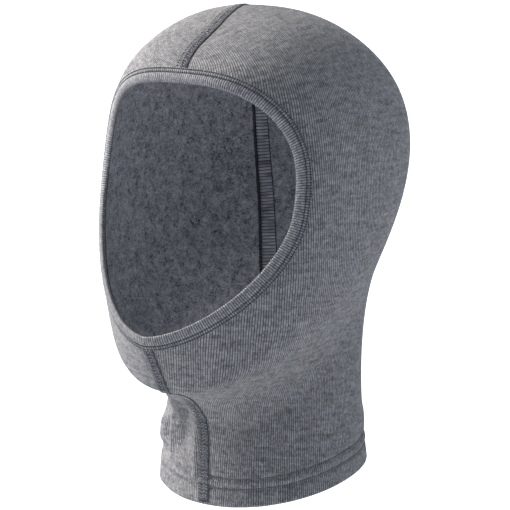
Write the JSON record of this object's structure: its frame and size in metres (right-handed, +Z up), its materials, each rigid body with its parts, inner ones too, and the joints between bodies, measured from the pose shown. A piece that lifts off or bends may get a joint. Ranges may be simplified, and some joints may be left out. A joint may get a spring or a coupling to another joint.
{
  "type": "balaclava",
  "caption": "Close-fitting knitted balaclava that covers the head and neck, with a bound oval face opening, side panels joined on flat seams, and a turned-up hem.",
  "frame": {"origin": "centre of the wearer's head at ear level, where the head holds the hood up", "axes": "+Z up, -Y the way the face looks, +X the wearer's left"},
  "size_m": [0.1597, 0.192, 0.2797],
  "materials": {
    "heather_knit": "heather grey knit, brushed inside",
    "ribbed_trim": "heather grey ribbed knit binding",
    "sewing_thread": "dark grey spun thread"
  },
  "bodies": {
    "root": {"left_panel": "heather_knit", "right_panel": "heather_knit", "face_binding": "ribbed_trim", "binding_needle_inner": "sewing_thread", "binding_needle_outer": "sewing_thread", "binding_looper": "sewing_thread", "crown_seam_cover": "sewing_thread", "crown_seam_looper": "sewing_thread", "crown_seam_needle": "sewing_thread", "chin_seam_cover": "sewing_thread", "chin_seam_looper": "sewing_thread", "hem_needle_lower": "sewing_thread", "hem_needle_upper": "sewing_thread", "hem_looper": "sewing_thread"}
  },
  "joints": []
}
